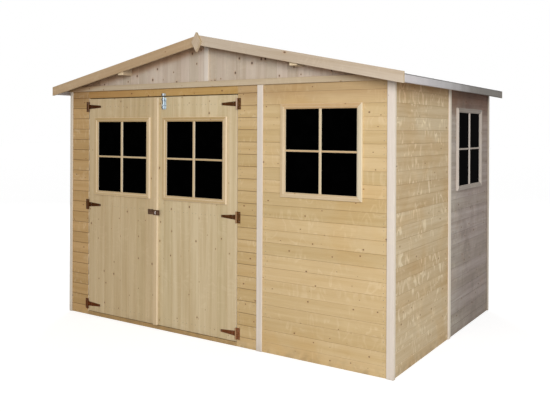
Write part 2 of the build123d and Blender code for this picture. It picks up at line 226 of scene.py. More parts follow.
def grain_lines(tree, place):
    streaks = stretched(tree, place, *streak_scale, detail=4.0, Roughness=0.6, Distortion=0.2)
    fibres = stretched(tree, place, *fibre_scale)
    wavy = times(tree, streaks, waviness, place[1])
    ring = reckon(tree, "FRACT", times(tree, wavy, rings_per_metre))
    return streaks, fibres, fade(tree, ring, 0.45, 1.0)


def pale_flames(tree, place):
    swirl = stretched(tree, place, *flame_scale, detail=1.0, Distortion=0.45)
    contour = reckon(tree, "FRACT", times(tree, swirl, contours))
    sharp = times(tree, fade(tree, contour, 0.55, 0.90), fade(tree, contour, 1.0, 0.92))
    return times(tree, sharp, fade(tree, stretched(tree, place, *gap_scale), 0.44, 0.64))

print("grain ready")

# %% [markdown]
# The parts are now laid over each other: grain, the tone of the board, flames, and knots with a reddish halo.
# Three more attributes help: seam is up to one inside the grooves between boards, where dirt gathers, edge is
# one on the sides of a strip, which take a paler rim colour as a painted highlight, and cut is one on its
# ends, which take an end colour; where that end colour is pale, it is a painted highlight too.

# %% The pine colour
flame_tint, halo_tint = "FFF0CF", "B98A58"
line_share, fibre_share, grain_bend = 0.15, 0.14, -0.8
halo_share, core_share, side_highlight_share, cut_share = 0.22, 0.85, 0.7, 0.8


def pine_colour(tree, shades, knots, boards, flames, marks):
    """The colour of the wood, and its fibres, lines and knots for the relief."""
    early, late, knot, rim, end = [tint(shade) for shade in shades]
    along, across, deep = split(tree, marks["grain"])
    core, halo, bend = knot_field(tree, along, across, *knots)
    place = (along, times(tree, bend, grain_bend, across), deep)
    streaks, fibres, line = grain_lines(tree, place)
    amount = times(tree, line, line_share, fade(tree, streaks, 0.30, 0.75, 0.0, 0.85))
    colour = blend(tree, amount, early, late)
    board = blend(tree, marks["tone"], (*boards[0], 1), (*boards[1], 1))
    colour = blend(tree, 1.0, colour, board, "MULTIPLY")
    colour = blend(tree, fade(tree, fibres, 0.35, 0.85, 0.0, fibre_share), colour, late, "MULTIPLY")
    for mask, share, shade in (
            (pale_flames(tree, place), flames, tint(flame_tint)), (halo, halo_share, tint(halo_tint)),
            (core, core_share, knot), (marks["edge"], side_highlight_share, rim), (marks["cut"], cut_share, end)):
        colour = blend(tree, times(tree, mask, share), colour, shade)
    return colour, fibres, line, core

print("pine colour ready")

# %% [markdown]
# Shade and light are painted into the colours in soft steps: painted shade, brown under the eaves and darker
# towards one end; painted light, where a part is made paler; and real dirt, splashed near the ground. Each
# step of painted shading is a colour that is multiplied in between two places along X, Y or Z, or by the
# depth below the slope of the roof, where the roof's painted shade falls. Blots of damp and sun have no place
# of their own, so they follow a slow noise.

# %% Painted shade, splashes and blots
ridge_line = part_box("roof_felt")[1].z
roof_slope = math.tan(math.radians(11.69))
splash_height, splash_tint = 0.08, "7A664C"
blot_softness, raggedness = 0.16, 0.5


def below_roof(tree, places):
    height = times(tree, reckon(tree, "ABSOLUTE", places[0]), -roof_slope, ridge_line)
    return reckon(tree, "SUBTRACT", height, places[2])


def painted_shade_and_splash(tree, colour, stains):
    """Each step of painted shade and light has an axis or "roof", the places where it starts and where it is
    full, and a colour; dirt is also splashed near the ground.
    """
    where = own_place(tree)
    places = split(tree, where)
    cloud = reckon(tree, "SUBTRACT", noise(tree, where, 9.0, 4.0), 0.5)
    for axis, start, end, shade in stains:
        place = below_roof(tree, places) if axis == "roof" else places[axis]
        ragged = times(tree, cloud, (end - start) * raggedness, place)
        limits = (start, end, 0.0, 1.0) if start < end else (end, start, 1.0, 0.0)
        colour = blend(tree, fade(tree, ragged, *limits), colour, (*shade, 1), "MULTIPLY")
    splash = fade(tree, noise(tree, where, 16.0, 4.0), 0.38, 0.72, 0.0, 0.35)
    dirt = times(tree, fade(tree, places[2], splash_height, 0.0), splash)
    return blend(tree, dirt, colour, tint(splash_tint))


def patched(tree, colour, patches):
    """Each blot has a scale, the share of the noise where it starts, and a colour."""
    where = own_place(tree)
    for scale, start, shade in patches:
        share = fade(tree, noise(tree, where, scale, 3.0, Distortion=0.4), start, start + blot_softness)
        colour = blend(tree, share, colour, (*shade, 1), "MULTIPLY")
    return colour

print("stains ready")

# %% [markdown]
# Roughness and bump follow the same fibres and lines, so light breaks on them too.

# %% The pine finish
usual_knots = (0.55, 0.0050, 0.75)
core_relief, line_relief, fibre_relief = -0.8, 0.35, 0.5


def tone_range(variety):
    """The colours that the darkest and the palest board are multiplied by."""
    low, high = 1 - variety, 1 + variety
    return (low * 1.01, low, low * 0.96), (high, high * 0.995, high * 1.02)


def pine(name, early, late, knot, rim=None, end=None, knots=usual_knots, boards=tone_range(0.06), flames=0.06,
         seam=("4A3218", 0.6), stains=(), patches=()):
    finish, tree, shader = new_finish(name)
    marks = {}
    for label in ("grain", "tone", "seam", "edge", "cut"):
        outputs = add_node(tree, "ShaderNodeAttribute", attribute_name=label).outputs
        marks[label] = outputs["Vector" if label == "grain" else "Fac"]
    shades = (early, late, knot, rim or early, end or late)
    colour, fibres, line, core = pine_colour(tree, shades, knots, boards, flames, marks)
    colour = blend(tree, times(tree, marks["seam"], seam[1]), colour, tint(seam[0]))
    relief = times(tree, core, core_relief, times(tree, line, line_relief, times(tree, fibres, fibre_relief)))
    feed(tree, shader, {
        "Base Color": painted_shade_and_splash(tree, patched(tree, colour, patches), stains), "Specular IOR Level": 0.3,
        "Roughness": times(tree, fibres, 0.22, 0.58), "Normal": bumps(tree, relief, 0.3, 0.0006)})
    return finish

print("pine ready")

# %% [markdown]
# One shed is never one colour. The front is warm tan, the gables greyer and pinker, the corner posts and
# battens almost white, and the back part of the side greyer still, a darker copy of the side pine that partly
# paints shade. Several finishes below also paint shade or light, as noted at each. A set of knots lists the
# share of cells that hold one, the size, and how far it is drawn out.

# %% Mix the wood colours
front_knots, gable_knots = (0.62, 0.0040, 0.8), (0.92, 0.0062, 0.75)
few_knots, rough_knots = (0.22, 0.0042, 0.7), (0.5, 0.0060, 0.7)
# Painted shade: the front boards darken just under the rail.
painted_shade_under_rail = [(2, 1.58, 1.70, (0.80, 0.75, 0.73))]
# Painted shadow: the gables and their rails turn brown just below the slope of the roof.
painted_shade_under_slope = [("roof", 0.100, 0.048, (0.80, 0.62, 0.48))]
# Painted shade: the side boards turn brown towards the top, under the eaves.
painted_shade_under_eaves = [(2, 1.60, 1.80, (0.80, 0.62, 0.48))]
# Painted shade: the left door leaf is darker.
left_leaf_painted_shade = [(0, -0.470, -0.495, (0.89, 0.85, 0.80))]
# Painted shade: the header darkens towards its left end.
header_painted_shade = [(0, 0.1, -1.2, (0.84, 0.76, 0.74))]
# Painted light and shade along Y: the pale strips are paler over the middle of the side walls and darker at
# the back corner posts.
strip_painted_light = [
    (1, -0.5, -0.2, (1.10, 1.11, 1.13)), (1, 0.4, 0.7, (0.91, 0.90, 0.885)),
    (1, 0.90, 0.98, (0.70, 0.69, 0.68))]
# Painted shade on the back part of the side: deep brown towards the top under the eaves and darker towards
# the back; it is also darker towards the bottom.
rear_side_painted_shade = [
    (2, 1.48, 1.70, (0.50, 0.33, 0.24)), (1, 0.05, 0.55, (0.74, 0.70, 0.71)),
    (2, 0.9, 0.1, (0.90, 0.90, 0.90))]
side_patches = [(2.6, 0.50, (0.96, 0.90, 0.81)), (4.5, 0.54, (1.08, 1.09, 1.10))]
front_patches = [(2.8, 0.52, (0.98, 0.94, 0.87)), (4.2, 0.54, (1.03, 1.04, 1.05))]
smudges = [(6.0, 0.52, (0.84, 0.83, 0.82)), (3.0, 0.52, (1.05, 1.00, 0.96)), (4.0, 0.54, (1.10, 1.11, 1.12))]
finishes = {
    "front_boards": pine(
        "front pine", "CEB589", "C2A676", "4E2E18", knots=front_knots, boards=tone_range(0.085), flames=0.11,
        seam=("5E4424", 0.65), stains=painted_shade_under_rail, patches=front_patches),
    # Painted shade: the strip right of the doors is a slightly darker copy of the front pine.
    "right_boards": pine(
        "right strip pine", "C9AE80", "BA9C69", "4E2E18", knots=front_knots, flames=0.15,
        seam=("4A3218", 0.75), stains=painted_shade_under_rail),
    # Painted shade: the strip left of the doors is a darker, browner copy of the front pine; its ends are
    # painted nearly white, a painted highlight in the gap beside the left door.
    "left_boards": pine(
        "left strip pine", "BE9C6B", "AD8A57", "4E2E18", end="FFF0D6", knots=front_knots,
        boards=tone_range(0.08), flames=0.15, seam=("4A3218", 0.75), stains=painted_shade_under_rail),
    # Painted shade: the header is a darker copy of the front pine, darkened further towards its left end.
    "header": pine("header pine", "BF9C63", "AC884B", "5E3E22", stains=header_painted_shade),
    "side_boards": pine(
        "side pine", "D6C29F", "C2A981", "6E5434", knots=(0.30, 0.0045, 0.75),
        boards=((0.93, 0.88, 0.80), (1.05, 1.07, 1.10)), flames=0.50, seam=("7A5C38", 0.4),
        stains=painted_shade_under_eaves, patches=side_patches),
    "plain_boards": pine(
        "plain side pine", "D6C29F", "C2A981", "6E5434", knots=(0.40, 0.0045, 0.75), boards=tone_range(0.08),
        flames=0.22, seam=("7A5C38", 0.4), stains=painted_shade_under_eaves),
    # A greyer, darker copy of the side pine for the back part of the side wall; its grey is partly painted
    # shade.
    "grey_side_boards": pine(
        "grey side pine", "B8AEA3", "988C7F", "4A3E35", boards=tone_range(0.08), flames=0.12,
        seam=("3A2E26", 0.4), stains=rear_side_painted_shade, patches=smudges),
    "gable_boards": pine(
        "gable pine", "C9BBAA", "B8A694", "42281A", knots=gable_knots, boards=tone_range(0.10),
        seam=("6E5646", 0.45), stains=painted_shade_under_slope),
    "gable_rails": pine("gable rail pine", "C9B79D", "B7A386", "6A4C30", stains=painted_shade_under_slope),
    # Painted highlight: the sides of the door boards take a nearly white rim colour, which lightens the gaps
    # round the doors; the left leaf takes painted shade.
    "door_boards": pine(
        "door pine", "D0BE9A", "BBA57D", "4E321C", "FFF0D6", knots=(0.36, 0.0046, 0.7),
        boards=tone_range(0.07), flames=0.07, seam=("6E5434", 0.4), stains=left_leaf_painted_shade),
    # Painted highlight: the sides of the door strips and of the window frames on the doors take a pale rim
    # colour.
    "door_strips": pine(
        "door strip pine", "CCB58F", "BFA57C", "7B5A38", "FBEBCF", knots=few_knots,
        boards=((0.84, 0.77, 0.62), (1.06, 1.06, 1.10))),
    # Painted highlight: the sides of the pale strips take a paler rim colour; their steps along Y paint light
    # and shade.
    "trim": pine(
        "pale strip pine", "D9CEC1", "CDC1B1", "6E5A44", "EADDC8", knots=few_knots, stains=strip_painted_light),
    # The sill is painted browner than the door boards; the brown partly paints the shade under the doors.
    "sill": pine("sill pine", "B69666", "9E7C4F", "4E321C", knots=few_knots),
    "framing": pine("sawn framing pine", "CBAC7C", "AE8C5A", "61432A", knots=rough_knots),
    # Painted shade: the roof boards, seen only from below, are a dark brown pine.
    "roof_boards": pine("roof pine", "8F6B44", "74532F", "432C1A", knots=rough_knots),
    # Painted highlight: the purlin ends are painted pale where they face the light.
    "purlins": pine("purlin pine", "C2AE92", "AA9375", "61432A", end="E2CDAA", knots=few_knots),
    # Painted light and shade: the darkest tone is brown, for the left bargeboard in shade, and the palest is
    # bluish, for the right one in light.
    "bargeboards": pine(
        "bargeboard pine", "CEBB9B", "BCA582", "5E4026", knots=(0.4, 0.0055, 0.6),
        boards=((0.82, 0.72, 0.65), (0.92, 0.95, 1.12))),
    "grey_bargeboards": pine("weathered bargeboard pine", "9C9286", "857A6E", "4A3E34", knots=few_knots),
    # Painted highlight: the sides of the window mouldings take a pale rim colour.
    "window_wood": pine(
        "window moulding pine", "D0C1A3", "C2AE8A", "7B5A38", "EBDDBE", knots=few_knots,
        boards=((0.92, 0.74, 0.57), (1.14, 1.22, 1.36))),
    "side_window_wood": pine(
        "weathered moulding pine", "B9AFA5", "A79C91", "6E6258", knots=few_knots,
        boards=((0.64, 0.62, 0.60), (1.75, 1.75, 1.75))),
}
print("wood finishes", len(finishes))

# %% [markdown]
# ## Planks
# Every wooden strip is a flat outline pushed back by its thickness, with its sharp edges eased as a plane
# would ease them. A cube with a bevel modifier could do that, but hundreds of modifiers are slow to edit, so
# the bevel is made at once in bmesh, and many planks are gathered into one mesh. Each vertex keeps its place
# along and across the grain.

# %% A stack that gathers planks into one mesh
pattern_reach = (60, 60, 9)
end_facing, side_facing, flat_facing = 0.8, 0.95, 0.8


def fresh_shift():
    """A chance place in the pattern, so that no two boards share their grain."""
    return Vector([chance.uniform(0, reach) for reach in pattern_reach])


def stand(name, points, faces, finish):
    """Makes a mesh with its finish and puts it into the scene."""
    mesh = bpy.data.meshes.new(name)
    mesh.from_pydata(points, [], faces)
    mesh.materials.append(finish)
    piece = bpy.data.objects.new(name, mesh)
    bpy.context.scene.collection.objects.link(piece)
    return piece


class Stack:
    def __init__(self):
        self.points, self.faces, self.grain, self.tone = [], [], [], []
        self.seam, self.edge, self.cut = [], [], []

    def add(self, shape, along, out, tone=None, shift=None, groove=None):
        """Takes a bmesh shape and writes where each vertex lies along and across the grain."""
        across = out.cross(along).normalized()
        tone = chance.random() if tone is None else tone
        shift = fresh_shift() if shift is None else shift
        start = len(self.points)
        face_level = max(vertex.co.dot(out) for vertex in shape.verts)
        shape.verts.index_update()
        shape.normal_update()
        for vertex in shape.verts:
            self.points.append(vertex.co[:])
            here = Vector((vertex.co.dot(along), vertex.co.dot(across), vertex.co.dot(out)))
            self.grain.append((here + shift)[:])
            self.tone.append(tone)
            self.seam.append(groove(vertex.co, face_level - vertex.co.dot(out)) if groove else 0.0)
        for face in shape.faces:
            self.faces.append([start + vertex.index for vertex in face.verts])
            at_end, at_side, flat = [abs(face.normal.dot(way)) for way in (along, across, out)]
            on_side = at_side > side_facing if groove else flat < flat_facing
            self.cut.append(1.0 if at_end > end_facing else 0.0)
            self.edge.append(1.0 if on_side else 0.0)
        shape.free()

    def place(self, name, finish, node=None, body="shed", slot=None):
        """Makes the mesh, and lets it ride and stand for its node."""
        piece = stand(name, self.points, self.faces, finish)
        layer = piece.data.attributes.new("grain", "FLOAT_VECTOR", "POINT")
        layer.data.foreach_set("vector", [number for value in self.grain for number in value])
        for label, domain in (("tone", "POINT"), ("seam", "POINT"), ("edge", "FACE"), ("cut", "FACE")):
            layer = piece.data.attributes.new(label, "FLOAT", domain)
            layer.data.foreach_set("value", getattr(self, label))
        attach(piece, body_of[node] if node else body)
        if node:
            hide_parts(node)
        return piece

print("stack ready")

# %% [markdown]
# A plank can be eased on every edge, or only along the two long edges of its face, which gives wall boards
# the V-shaped grooves between them.

# %% Push an outline back into a plank
same_level, with_grain = 1e-5, 0.99


def prism(outline, out, depth):
    shape = bmesh.new()
    front = [shape.verts.new(point) for point in outline]
    back = [shape.verts.new(point - out * depth) for point in outline]
    shape.faces.new(front)
    shape.faces.new(back)
    count = len(outline)
    for i in range(count):
        shape.faces.new([front[i], front[(i + 1) % count], back[(i + 1) % count], back[i]])
    bmesh.ops.recalc_face_normals(shape, faces=shape.faces)
    return shape


def ease(shape, width, edges=None, steps=1):
    chosen = list(shape.edges) if edges is None else edges
    bmesh.ops.bevel(shape, geom=chosen, offset=width, segments=steps, profile=0.5, affect="EDGES",
                    clamp_overlap=True)
    return shape


def long_face_edges(shape, along, out):
    """The edges of the front face that run with the grain."""
    level = max(vertex.co.dot(out) for vertex in shape.verts)
    found = []
    for edge in shape.edges:
        on_face = all(vertex.co.dot(out) > level - same_level for vertex in edge.verts)
        run = (edge.verts[1].co - edge.verts[0].co).normalized()
        if on_face and abs(run.dot(along)) > with_grain:
            found.append(edge)
    return found


def lay(stack, outline, along, out, depth, groove, *marks, steps=1):
    """Adds a plank that is eased along its face; marks are its tone, shift and groove marks."""
    shape = prism(outline, out, depth)
    stack.add(ease(shape, groove, long_face_edges(shape, along, out), steps), along, out, *marks)

print("plank helpers ready")

# %% [markdown]
# ## Reading the solids
# A node can hold several solids, such as all the wall studs. Following the edges from vertex to vertex finds
# each one. Most of them are outlines in X and Z pushed along Y, so the outer outline of their points is all
# that a plank needs.

# %% Find each solid of a node
weld_distance, least_bend = 1e-6, 1e-9


def solids_of(node):
    """The vertices of each separate solid of a node."""
    shape = bmesh.new()
    shape.from_mesh(frame["nodes"][node].data)
    bmesh.ops.remove_doubles(shape, verts=shape.verts, dist=weld_distance)
    waiting = set(shape.verts)
    solids = []
    while waiting:
        open_ends = [waiting.pop()]
        members = []
        while open_ends:
            vertex = open_ends.pop()
            members.append(vertex.co.copy())
            for edge in vertex.link_edges:
                other = edge.other_vert(vertex)
                if other in waiting:
                    waiting.remove(other)
                    open_ends.append(other)
        solids.append(members)
    shape.free()
    solids.sort(key=lambda points: tuple(round(min(p[i] for p in points), 4) for i in range(3)))
    return solids


def corners(points):
    low = Vector([min(p[i] for p in points) for i in range(3)])
    high = Vector([max(p[i] for p in points) for i in range(3)])
    return low, high


def outer_outline(points):
    """The outline of a solid seen along Y, as pairs of X and Z in order."""
    pairs = sorted({(round(p.x, 5), round(p.z, 5)) for p in points})
    outline = []
    for series in (pairs, pairs[::-1]):
        chain = []
        for pair in series:
            while len(chain) > 1:
                (ax, az), (bx, bz) = chain[-2], chain[-1]
                if (bx - ax) * (pair[1] - az) - (bz - az) * (pair[0] - ax) > least_bend:
                    break
                chain.pop()
            chain.append(pair)
        outline += chain[:-1]
    return outline

print("studs found", len(solids_of("wall_studs")))

# %% [markdown]
# ## Strips, posts and beams
# Corner posts, battens, studs, rails, beams, bargeboards and the pointed finials are all planed strips. Each
# is cut again from its solid's outline, with eased edges, and its grain follows its longest edge.

# %% Cut strips from the solids of a node
rightward, leftward = Vector((1, 0, 0)), Vector((-1, 0, 0))
backward, toward_front = Vector((0, 1, 0)), Vector((0, -1, 0))
upward = Vector((0, 0, 1))
own_finish = {
    "gable_rails": "gable_rails", "door_cover_strip": "door_strips", "roof_beams": "purlins",
    "back_bargeboards": "grey_bargeboards", "door_sill": "sill",
}


def along_y(direction):
    """True for a direction that goes along Y rather than along X or Z."""
    return abs(direction.y) > max(abs(direction.x), abs(direction.z))


def strip(points, width):
    """One eased strip, its grain direction and its facing."""
    low, high = corners(points)
    outline = [Vector((x, low.y, z)) for x, z in outer_outline(points)]
    runs = [outline[i] - outline[i - 1] for i in range(len(outline))] + [backward * (high.y - low.y)]
    along = max(runs, key=lambda run: run.length).normalized()
    out = upward if along_y(along) else toward_front
    return ease(prism(outline, toward_front, high.y - low.y), width, steps=2), along, out


def strips(node, width=0.0025, tones=None, name=None):
    stack = Stack()
    for i, points in enumerate(solids_of(node)):
        stack.add(*strip(points, width), tones[i] if tones else None)
    return stack.place(name or node + "_wood", finishes[own_finish.get(node, slot_of[node])], node)


plain_strips = [
    "panel_battens", "wall_rails", "wall_studs", "roof_beams", "gable_rails", "gable_battens",
    "back_bargeboards", "door_sill", "left_door_ledges", "right_door_ledges",
]
for node in plain_strips:
    strips(node)
# The left bargeboard takes the darkest tone, as painted shade, and the right one the palest, as painted
# light.
strips("front_bargeboards", tones=(0.0, 1.0))
strips("finials", 0.001, (0.6, 0.4))
strips("door_cover_strip", tones=(0.9,))
print("strips cut for", len(plain_strips) + 3, "nodes")

# %% [markdown]
# A corner post is two strips: one on the end wall, and one round the corner on the side wall. At one corner
# the wide strip is in front, at the other it is on the side.

# %% Corner posts
post_easing = 0.002


def corner_posts():
    stack = Stack()
    for points in solids_of("corner_boards"):
        low, high = corners(points)
        ys = sorted({round(p.y, 4) for p in points})
        xs = sorted({round(p.x, 4) for p in points})
        front = low.y < 0
        wide_y = (ys[0], ys[1]) if front else (ys[-2], ys[-1])
        thin_y = (ys[1], ys[-1]) if front else (ys[0], ys[-2])
        thin_x = (xs[0], xs[1]) if low.x < 0 else (xs[-2], xs[-1])
        for span, depth in (((low.x, high.x), wide_y), (thin_x, thin_y)):
            block = [Vector((x, y, z)) for x in span for y in depth for z in (low.z, high.z)]
            stack.add(*strip(block, post_easing))
    return stack.place("corner_posts", finishes["trim"], "corner_boards")

corner_posts()
print("corner posts made")

# %% [markdown]
# ## Wall boards
# The walls are level boards, one above the other, that cover about eight centimetres each. The lowest course
# is cut narrower, so the joints fall at the heights seen on the front. A groove could be painted on, but
# real gaps keep their shadow from every side, so each course is a plank with a chamfer along both edges of
# its face. Round a window, a course is cut into pieces that share one grain, so no joint shows.

# %% Divide a wall into courses
first_joint, course_height, slimmest_course = 0.069, 0.0815, 0.004


def course_spans(low, high):
    joints = [low]
    height = first_joint
    while height < high - slimmest_course:
        if height > low + slimmest_course:
            joints.append(height)
        height += course_height
    return list(zip(joints, joints[1:] + [high]))


def around_hole(run, width, hole):
    """Cuts one board, given by its run and its width, into the rectangles round a hole."""
    if hole is None or width[1] <= hole[1][0] or width[0] >= hole[1][1]:
        return [(run, width)]
    cuts = [((run[0], hole[0][0]), width), ((hole[0][1], run[1]), width)]
    if width[0] < hole[1][0]:
        cuts.append((hole[0], (width[0], hole[1][0])))
    if width[1] > hole[1][1]:
        cuts.append((hole[0], (hole[1][1], width[1])))
    return cuts


print("courses on the front", len(course_spans(0, 1.75)))

# %% [markdown]
# Walls face four ways, so a place on one is given by how far along it is, how high, and how far it stands
# out of the face. These helpers turn that into a point.

# %% Places on a wall
def rectangle(span, rise):
    return [(span[0], rise[0]), (span[1], rise[0]), (span[1], rise[1]), (span[0], rise[1])]


def run_axis(out):
    """Level boards on a wall that faces out run along X, which is 0, or Y, which is 1."""
    return 0 if along_y(out) else 1


def sideways(out):
    return (rightward, backward)[run_axis(out)]


def outer_face(low, high, out):
    depth_axis = 1 - run_axis(out)
    return (low if out[depth_axis] < 0 else high)[depth_axis]


def wall_point(s, z, proud, face, out):
    """The point at s along the wall and at height z, proud of its face."""
    axis = run_axis(out)
    point = out * proud
    point[axis] = s
    point[1 - axis] += face
    point.z = z
    return point


print("the back wall runs along", sideways(backward)[:])

# %% [markdown]
# No two boards are alike: each one gets its own grain and tone, sits a hair deeper or further out, and has
# more or less dirt in its groove.

# %% Lay level boards over a wall plate
wall_edge, chamfer_depths = 0.005, (0.0004, 0.006)
face_play = 0.0006


def groove_marks(axis, low, high, strength):
    """Marks the lower edges of the chamfers between boards, but not at the outer edges of the wall."""
    def mark(point, depth):
        inside = low + wall_edge < point[axis] < high - wall_edge
        return strength if inside and chamfer_depths[0] < depth < chamfer_depths[1] else 0.0
    return mark


def level_boards(stack, low, high, out, hole, groove, faintest):
    axis, face = run_axis(out), outer_face(low, high, out)
    depth = high[1 - axis] - low[1 - axis]
    for rise in course_spans(low.z, high.z):
        shift, tone = fresh_shift(), chance.random()
        marks = groove_marks(2, low.z, high.z, chance.uniform(faintest, 1.0))
        sunk = chance.uniform(0, face_play)
        for cut in around_hole((low[axis], high[axis]), rise, hole):
            outline = [wall_point(s, z, -sunk, face, out) for s, z in rectangle(*cut)]
            lay(stack, outline, sideways(out), out, depth - sunk, groove, tone, shift, marks)

print("boards may sit", face_play, "deeper")

# %% [markdown]
# Each wall plate faces one way, and two of them have a hole for a pane. On the walls that are seen most, the
# boards sit tight with narrow grooves, some of them hardly marked. The strips round the doors keep wider
# ones, and so do the walls that the photograph doesn't show.

# %% Board the walls
def pane_hole(low, high, axis, clearance=0.001):
    return ((low[axis] - clearance, high[axis] + clearance), (low.z - clearance, high.z + clearance))


wall_panes = [corners(points) for points in solids_of("window_glass")]
front_pane = min(wall_panes, key=lambda pane: pane[0].y)
side_pane = max(wall_panes, key=lambda pane: pane[1].y)
facing = {
    "front_wall_left_strip": toward_front, "front_wall_right_strip": toward_front,
    "front_header": toward_front, "front_window_wall": toward_front,
    "right_wall_front": rightward, "right_wall_rear": rightward, "left_wall": leftward, "back_wall": backward,
}
wall_finish = {
    "front_wall_left_strip": "left_boards", "front_wall_right_strip": "right_boards",
    "front_header": "header", "right_wall_rear": "grey_side_boards",
    "left_wall": "plain_boards", "back_wall": "plain_boards",
}
holes = {"front_window_wall": pane_hole(*front_pane, 0), "right_wall_rear": pane_hole(*side_pane, 1)}
tight_walls = ("front_window_wall", "right_wall_front", "right_wall_rear")
panelled_walls = ("left_wall", "back_wall")
tight_groove, wide_groove = (0.0016, 0.1), (0.003, 0.6)
for node, out in facing.items():
    stack = Stack()
    groove = tight_groove if node in tight_walls else wide_groove
    for points in solids_of(node) if node in panelled_walls else [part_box(node)]:
        level_boards(stack, *corners(points), out, holes.get(node), *groove)
    stack.place(node + "_boards", finishes[wall_finish.get(node, slot_of[node])], node)
print("boarded walls", len(facing))

# %% [markdown]
# ## Doors
# Each door leaf is upright boards of equal width. The boards that meet the window are cut above and below
# it, which is the same cut as for a level board, with its run and its width exchanged.

# %% Board the door leaves
door_board, door_groove, door_faintest = 0.084, 0.0022, 0.3


def equal_spans(low, high, width):
    """Equal spans of about the given width."""
    count = round((high - low) / width)
    step = (high - low) / count
    return [(low + i * step, low + (i + 1) * step) for i in range(count)]


def upright_boards(stack, low, high, hole):
    hole_span, hole_rise = hole
    for span in equal_spans(low.x, high.x, door_board):
        shift, tone = fresh_shift(), chance.random()
        marks = groove_marks(0, low.x, high.x, chance.uniform(door_faintest, 1.0))
        for rise, part in around_hole((low.z, high.z), span, (hole_rise, hole_span)):
            outline = [Vector((x, low.y, z)) for x, z in rectangle(part, rise)]
            lay(stack, outline, upward, toward_front, high.y - low.y, door_groove, tone, shift, marks)


for side in ("left", "right"):
    low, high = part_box(side + "_door_leaf")
    stack = Stack()
    upright_boards(stack, low, high, pane_hole(*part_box(side + "_door_glass"), 0))
    stack.place(side + "_door_boards", finishes["door_boards"], side + "_door_leaf")
    print(side, "door has", len(equal_spans(low.x, high.x, door_board)), "boards")

# %% [markdown]
# ## Gables
# The triangles under the roof are upright boards too, cut along the slope, with gaps for the two purlins
# that come through them. The ridge beam, which lies in the middle, needs no gap. Each board's top follows
# the roof, so its outline is worked out from the slope.

# %% Board the gables
gable_board, gable_groove, gable_faintest = 0.082, 0.0018, 0.2
off_middle, at_edge = 0.1, 1e-4
beams = [corners(points) for points in solids_of("roof_beams")]
purlins = [beam for beam in beams if abs(beam[0].x + beam[1].x) / 2 > off_middle]


def fall_from_ridge(points, high):
    """How far a slope falls for each metre from the ridge to its outer edge."""
    edge = max(p.z for p in points if abs(abs(p.x) - high.x) < at_edge)
    return (high.z - edge) / high.x


def gable_boards(node):
    low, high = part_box(node)
    out = toward_front if low.y < 0 else backward
    fall = fall_from_ridge(solids_of(node)[0], high)
    count = round(high.x / gable_board)
    joints = sorted({0.0} | {sign * high.x * i / count for i in range(count + 1) for sign in (-1, 1)})
    stack = Stack()
    for left, right in zip(joints, joints[1:]):
        shift, tone = fresh_shift(), chance.random()
        marks = groove_marks(0, low.x, high.x, chance.uniform(gable_faintest, 1.0))
        inner = [corner.x for beam in purlins for corner in beam if left < corner.x < right]
        edges = [left, *sorted(inner), right]
        for x0, x1 in zip(edges, edges[1:]):
            middle = (x0 + x1) / 2
            under = [beam[0].z for beam in purlins if beam[0].x < middle < beam[1].x]
            tops = [under[0] if under else high.z - fall * abs(x) for x in (x1, x0)]
            ring = [(x0, low.z), (x1, low.z), (x1, tops[0]), (x0, tops[1])]
            outline = [Vector((x, outer_face(low, high, out), z)) for x, z in ring]
            lay(stack, outline, upward, out, high.y - low.y, gable_groove, tone, shift, marks)
    return stack.place(node + "_boards", finishes["gable_boards"], node)

for node in ("front_gable", "back_gable"):
    gable_boards(node)
print("gables boarded, with gaps for", len(purlins), "purlins")

# %% [markdown]
# ## Roof and floor boards
# The roof is boarded from the ridge down to the eaves, which shows only from below. The floor boards run
# across the shed. Both are plain planks, laid side by side.

# %% Board the roof and the floor
roof_board, roof_easing = 0.09, 0.0012
floor_board, floor_groove = 0.095, 0.0015


def roof_boards(node):
    points = solids_of(node)[0]
    low, high = corners(points)
    outline = outer_outline(points)
    sides = [Vector((b[0] - a[0], 0, b[1] - a[1])) for a, b in zip(outline, outline[1:] + outline[:1])]
    along = max(sides, key=lambda run: run.length).normalized()
    stack = Stack()
    for y0, y1 in equal_spans(low.y, high.y, roof_board):
        shape = prism([Vector((x, y0, z)) for x, z in outline], toward_front, y1 - y0)
        stack.add(ease(shape, roof_easing), along, along.cross(toward_front).normalized())
    return stack.place(node + "_boards", finishes["roof_boards"], node)


def floor_boards():
    low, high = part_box("floor")
    stack = Stack()
    for depth in equal_spans(low.y, high.y, floor_board):
        outline = [Vector((x, y, high.z)) for x, y in rectangle((low.x, high.x), depth)]
        lay(stack, outline, rightward, upward, high.z - low.z, floor_groove)
    return stack.place("floor_boards", finishes["framing"], "floor")

for node in ("roof_left", "roof_right"):
    roof_boards(node)
floor_boards()
print("roof and floor boarded")

# %% [markdown]
# ## Roofing felt
# Mineral felt is tar-soaked sheet with fine grey stone grit. It is laid in lengths along the roof, each one
# lapping the one below, with a last length bent over the ridge. The grit is fine noise in colour and bump,
# and rain leaves streaks down the slope.

# %% The felt finish
def finish_solids(label, *nodes):
    """Gives a finish to solids that show as they are."""
    for node in nodes:
        materials = frame["nodes"][node].data.materials
        materials.clear()
        materials.append(finishes[label])


